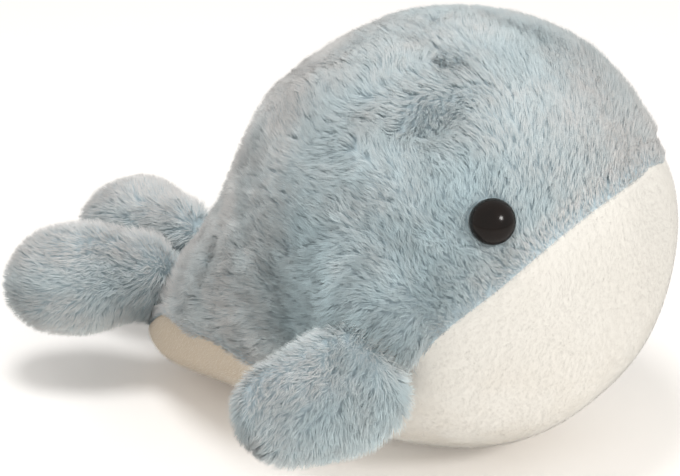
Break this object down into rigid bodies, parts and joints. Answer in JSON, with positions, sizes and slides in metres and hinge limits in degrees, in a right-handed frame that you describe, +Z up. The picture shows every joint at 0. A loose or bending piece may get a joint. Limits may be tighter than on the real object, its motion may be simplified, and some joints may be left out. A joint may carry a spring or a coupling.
{
  "type": "plush whale",
  "caption": "Ball-shaped stuffed whale with a short tail, two floppy side fins, two tail flukes, a pale belly and black safety eyes.",
  "frame": {"origin": "on the floor, under the middle of the ball-shaped body, on the belly's flat", "axes": "+X towards the nose, +Z up, the whale's right side is -Y"},
  "size_m": [0.2977, 0.2952, 0.1886],
  "materials": {
    "blue_plush": "long tousled powder-blue pile with paler tips",
    "cream_plush": "short smooth off-white pile",
    "stuffing_fibre": "loose white polyester fibre",
    "black_eye": "glossy moulded black",
    "white_plastic": "plain moulded, hidden inside"
  },
  "bodies": {
    "body": {"back_panel_right": "blue_plush", "back_panel_left": "blue_plush", "belly_panel": "cream_plush", "body_filling": "stuffing_fibre", "eye_right": "black_eye", "eye_left": "black_eye", "eye_washer_right": "white_plastic", "eye_washer_left": "white_plastic"},
    "fin_right": {"fin_right_outer_panel": "blue_plush", "fin_right_inner_panel": "blue_plush", "fin_right_filling": "stuffing_fibre"},
    "fin_left": {"fin_left_outer_panel": "blue_plush", "fin_left_inner_panel": "blue_plush", "fin_left_filling": "stuffing_fibre"},
    "fluke_right": {"fluke_right_top_panel": "blue_plush", "fluke_right_under_panel": "blue_plush", "fluke_right_filling": "stuffing_fibre"},
    "fluke_left": {"fluke_left_top_panel": "blue_plush", "fluke_left_under_panel": "blue_plush", "fluke_left_filling": "stuffing_fibre"}
  },
  "joints": [
    {"name": "fin_right_flap", "type": "hinge", "parent": "body", "child": "fin_right", "pos_m": [0.00441, -0.10465, 0.06993], "axis": [-0.4631, -0.0532, 0.8847], "range_deg": [-5, 30], "stiffness_Nm_per_rad": 0.06},
    {"name": "fin_left_flap", "type": "hinge", "parent": "body", "child": "fin_left", "pos_m": [0.00441, 0.10465, 0.06993], "axis": [0.4631, -0.0532, -0.8847], "range_deg": [-5, 30], "stiffness_Nm_per_rad": 0.06},
    {"name": "fluke_right_lift", "type": "hinge", "parent": "body", "child": "fluke_right", "pos_m": [-0.144, -0.021, 0.05217], "axis": [-0.3462, 0.9382, 0], "range_deg": [-6, 28], "stiffness_Nm_per_rad": 0.08},
    {"name": "fluke_left_lift", "type": "hinge", "parent": "body", "child": "fluke_left", "pos_m": [-0.144, 0.021, 0.05217], "axis": [0.3462, 0.9382, 0], "range_deg": [-6, 28], "stiffness_Nm_per_rad": 0.08}
  ]
}
